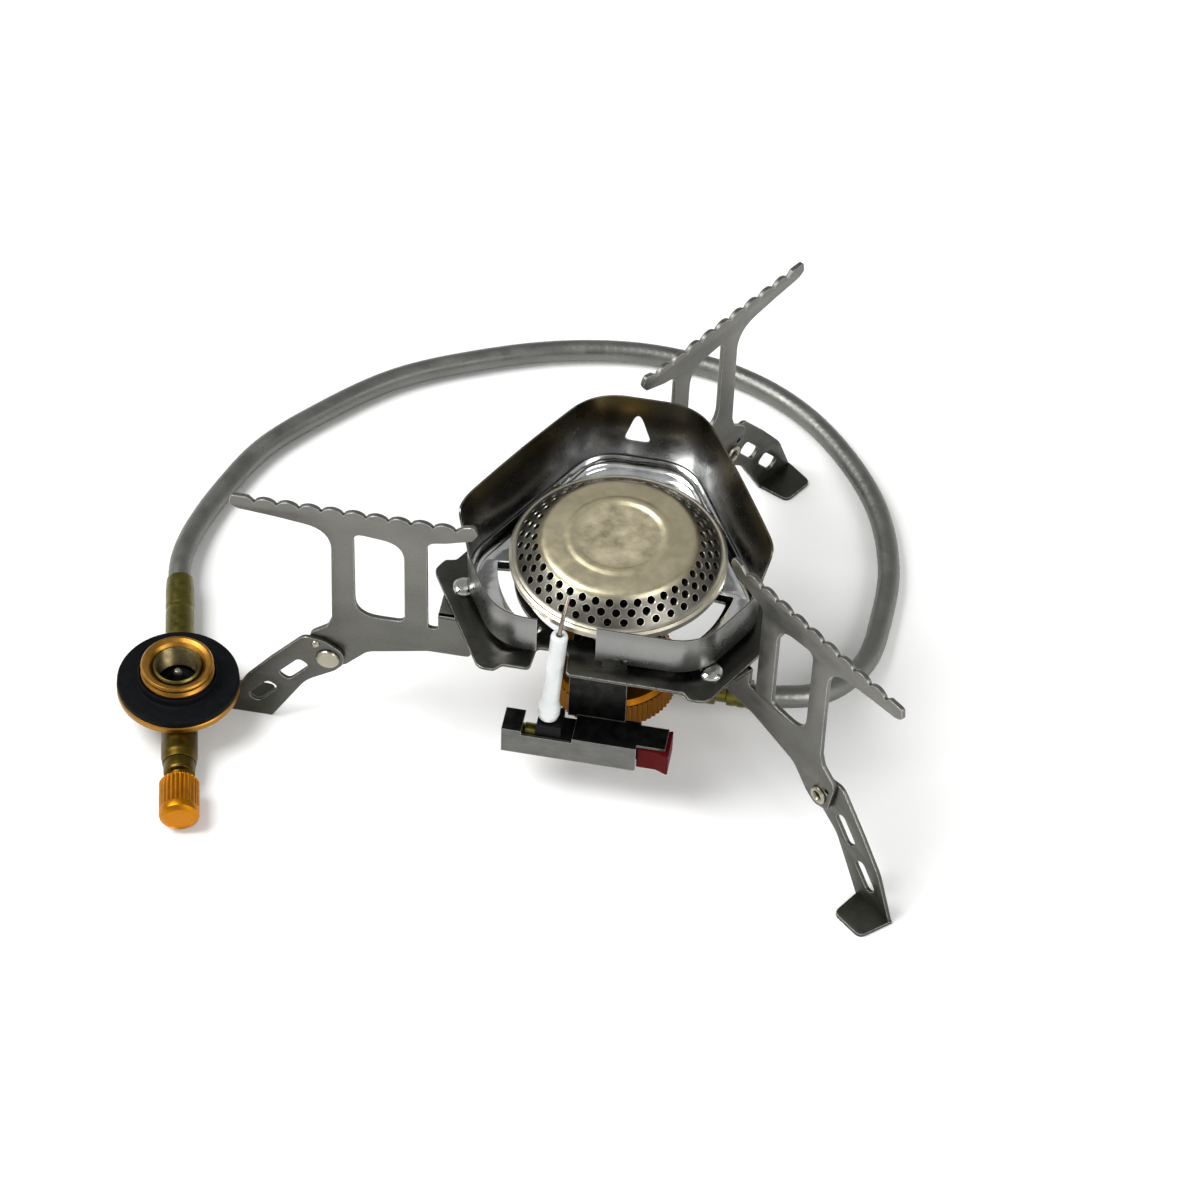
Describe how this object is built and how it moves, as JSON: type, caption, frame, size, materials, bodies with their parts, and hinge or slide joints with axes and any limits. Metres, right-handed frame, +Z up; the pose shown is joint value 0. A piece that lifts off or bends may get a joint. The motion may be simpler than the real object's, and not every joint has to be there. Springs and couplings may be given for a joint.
{
  "type": "canister stove",
  "caption": "Remote-canister camping stove: round burner with wind shield and igniter on folding toothed legs, with a hose to a threaded canister valve and its knurled knob.",
  "frame": {"origin": "centre of the bounding box in plan, on the ground under the feet", "axes": "+Z up out of the ground and out of the canister collar; the igniter side of the burner faces -Y, and the canister valve lies on the -X side"},
  "size_m": [0.2216, 0.2214, 0.0882],
  "materials": {
    "sheet_steel": "satin stainless sheet with fine grain and bright cut edges",
    "polished_steel": "polished stainless with a heat tint",
    "nickel_steel": "warm nickel-coloured steel, worn in the middle",
    "gold_anodised": "gold anodised, knurled on the grips",
    "old_brass": "olive brass, machined",
    "steel_braid": "fine braided sleeve",
    "black_rubber": "matte",
    "white_ceramic": "glazed white",
    "black_plastic": "matte",
    "red_plastic": "dark red, semi-gloss"
  },
  "bodies": {
    "burner_and_valve": {"base_plate": "sheet_steel", "wind_shield": "polished_steel", "reflector_dish": "polished_steel", "dish_spacer": "sheet_steel", "burner_cap": "nickel_steel", "burner_cup": "sheet_steel", "flame_gauze": "sheet_steel", "mixer_tube": "sheet_steel", "base_housing": "gold_anodised", "gas_block": "old_brass", "jet_nozzle": "old_brass", "inlet_tube": "old_brass", "hose_ferrule": "old_brass", "hose": "steel_braid", "valve_body": "old_brass", "valve_flange": "gold_anodised", "flange_pad": "black_rubber", "canister_collar": "gold_anodised", "seal_ring": "black_rubber", "valve_pin": "nickel_steel", "valve_ferrule": "old_brass", "packing_nut": "old_brass", "igniter_bracket": "sheet_steel", "igniter_body": "black_plastic", "igniter_terminal": "old_brass", "igniter_screw": "sheet_steel", "ceramic_insulator": "white_ceramic", "electrode_wire": "sheet_steel", "pivot_rivet_left": "nickel_steel", "pivot_rivet_right": "nickel_steel", "pivot_rivet_rear": "nickel_steel"},
    "leg_left": {"leg_plate_left": "sheet_steel", "foot_rivet_left": "nickel_steel"},
    "foot_left": {"foot_strut_left": "sheet_steel"},
    "leg_right": {"leg_plate_right": "sheet_steel", "foot_rivet_right": "nickel_steel"},
    "foot_right": {"foot_strut_right": "sheet_steel"},
    "leg_rear": {"leg_plate_rear": "sheet_steel", "foot_rivet_rear": "nickel_steel"},
    "foot_rear": {"foot_strut_rear": "sheet_steel"},
    "igniter_button": {"igniter_button": "red_plastic"},
    "control_knob": {"control_knob": "gold_anodised", "valve_spindle": "old_brass"}
  },
  "joints": [
    {"name": "leg_swing_left", "type": "hinge", "parent": "burner_and_valve", "child": "leg_left", "pos_m": [-0.01387, -0.0368, 0.0507], "axis": [0, 0, 1], "range_deg": [-120.4, 0]},
    {"name": "foot_fold_left", "type": "hinge", "parent": "leg_left", "child": "foot_left", "pos_m": [-0.05089, -0.04182, 0.0285], "axis": [0.1357, 0.9907, 0], "range_deg": [-125, 0]},
    {"name": "leg_swing_right", "type": "hinge", "parent": "burner_and_valve", "child": "leg_right", "pos_m": [0.05436, -0.06367, 0.0507], "axis": [0, 0, 1], "range_deg": [-139.5, 0]},
    {"name": "foot_fold_right", "type": "hinge", "parent": "leg_right", "child": "foot_right", "pos_m": [0.08563, -0.08412, 0.0285], "axis": [-0.7513, -0.66, 0], "range_deg": [-125, 0]},
    {"name": "leg_swing_rear", "type": "hinge", "parent": "burner_and_valve", "child": "leg_rear", "pos_m": [0.04352, 0.00885, 0.0507], "axis": [0, 0, 1], "range_deg": [-117.2, 0], "deforming": ["hose"]},
    {"name": "foot_fold_rear", "type": "hinge", "parent": "leg_rear", "child": "foot_rear", "pos_m": [0.05959, 0.04258, 0.0285], "axis": [0.7547, -0.6561, 0], "range_deg": [-125, 0]},
    {"name": "igniter_push", "type": "slide", "parent": "burner_and_valve", "child": "igniter_button", "axis": [-0.9898, 0.1426, 0], "range_m": [0, 0.004], "stiffness_N_per_m": 800},
    {"name": "knob_turn", "type": "hinge", "parent": "burner_and_valve", "child": "control_knob", "pos_m": [-0.09047, -0.07239, 0.0065], "axis": [0.1011, -0.9949, 0], "range_deg": [0, 540]}
  ]
}
